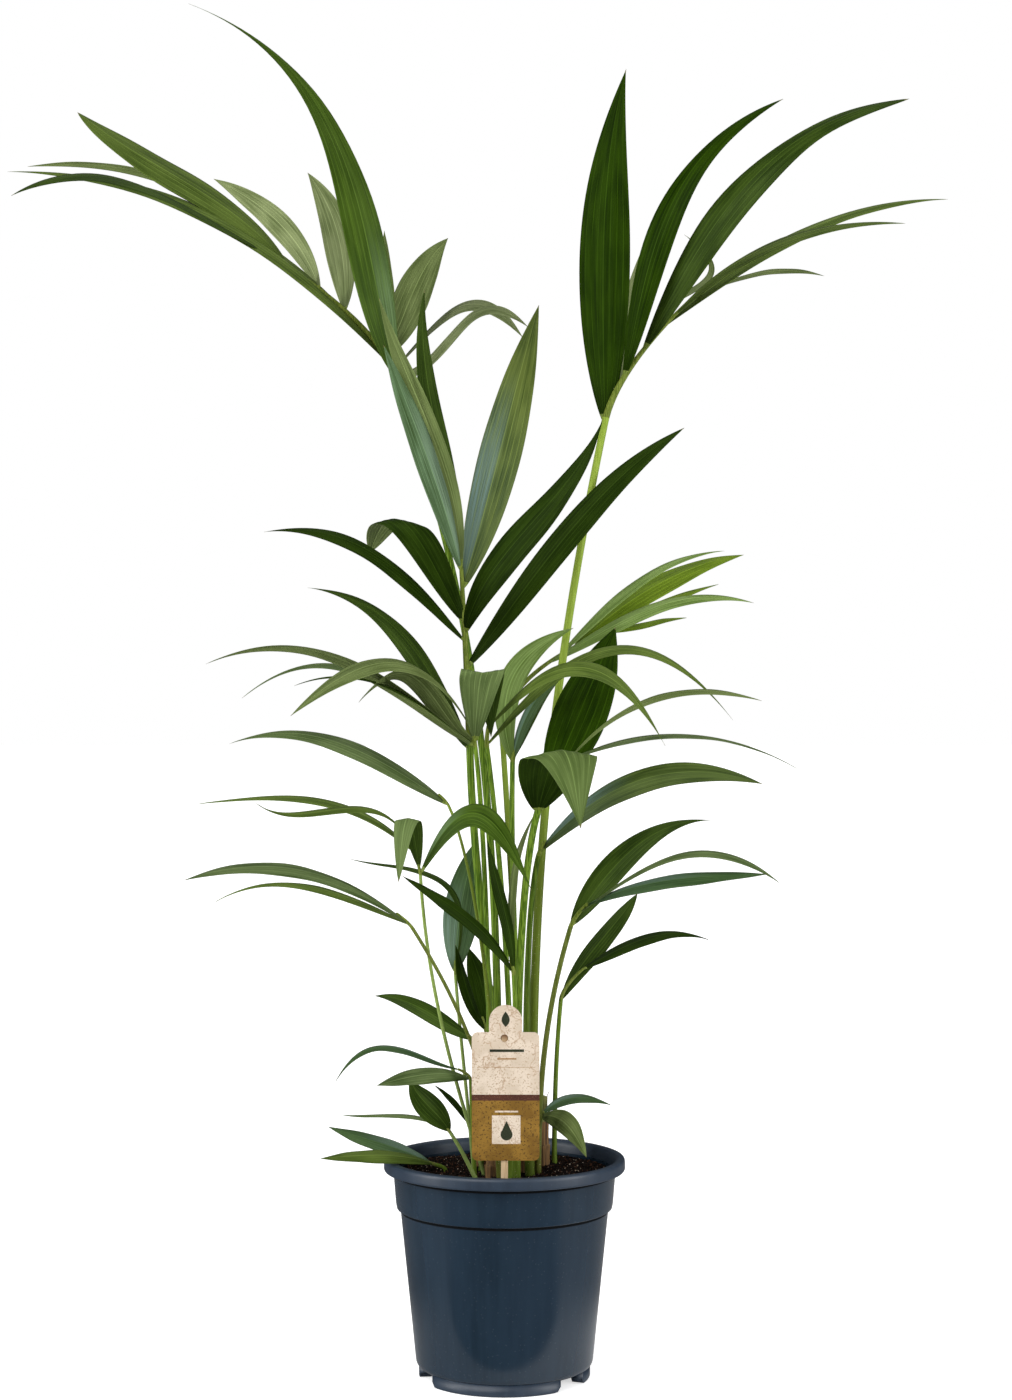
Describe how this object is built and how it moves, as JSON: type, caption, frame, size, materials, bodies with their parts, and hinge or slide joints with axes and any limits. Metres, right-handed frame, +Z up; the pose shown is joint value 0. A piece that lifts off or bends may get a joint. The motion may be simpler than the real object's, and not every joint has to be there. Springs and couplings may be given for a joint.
{
  "type": "potted kentia palm",
  "caption": "Potted kentia palm: a clump of slender stalks with arching feather fronds in a round nursery pot, with a blank-faced care label on a stick.",
  "frame": {"origin": "middle of the pot's flat underside, on the floor", "axes": "+Z up, +X to the right, -Y to the front, where the care label faces"},
  "size_m": [0.8426, 0.4294, 1.1647],
  "materials": {
    "pot_plastic": "satin slate blue polypropylene, with a fine orange-peel skin",
    "potting_soil": "dark, moist, crumbly peat and bark mix",
    "label_print": "cream, maroon and ochre printed card, with no lettering",
    "label_wood": "raw pale birch stick",
    "sheath": "dry fibrous brown leaf sheaths round green stems",
    "stalk": "smooth light green petioles, browner and darker near the soil",
    "leaf": "satin leaflets with fine parallel veins, deep green above and grey green below"
  },
  "bodies": {
    "root": {"pot": "pot_plastic", "soil": "potting_soil", "label_card": "label_print", "label_stick": "label_wood", "stem_back_left": "sheath", "stem_back_right": "sheath", "stem_front_left": "sheath", "stem_front_right": "sheath", "stem_middle": "sheath", "stalk_bent_left": "stalk", "stalk_dark_right": "stalk", "stalk_inner": "stalk", "stalk_inner_low": "stalk", "stalk_left": "stalk", "stalk_light_inner": "stalk", "stalk_light_right": "stalk", "stalk_low_dark_right": "stalk", "stalk_low_left": "stalk", "stalk_low_right": "stalk", "stalk_middle": "stalk", "stalk_right": "stalk", "stalk_shaded": "stalk", "stalk_shaded_low": "stalk", "stalk_single_left": "stalk", "stalk_tall_left": "stalk", "stalk_tall_right": "stalk", "frond_bent_left": "leaf", "frond_dark_right": "leaf", "frond_inner": "leaf", "frond_inner_low": "leaf", "frond_left": "leaf", "frond_light_inner": "leaf", "frond_light_right": "leaf", "frond_low_dark_right": "leaf", "frond_low_left": "leaf", "frond_low_right": "leaf", "frond_middle": "leaf", "frond_right": "leaf", "frond_shaded": "leaf", "frond_shaded_low": "leaf", "frond_single_left": "leaf", "frond_tall_left": "leaf", "frond_tall_right": "leaf", "shoot_arched_left": "leaf", "shoot_left": "leaf", "shoot_low_left": "leaf", "shoot_low_right": "leaf", "shoot_round_left": "leaf", "shoot_thin_left": "leaf"}
  },
  "joints": []
}
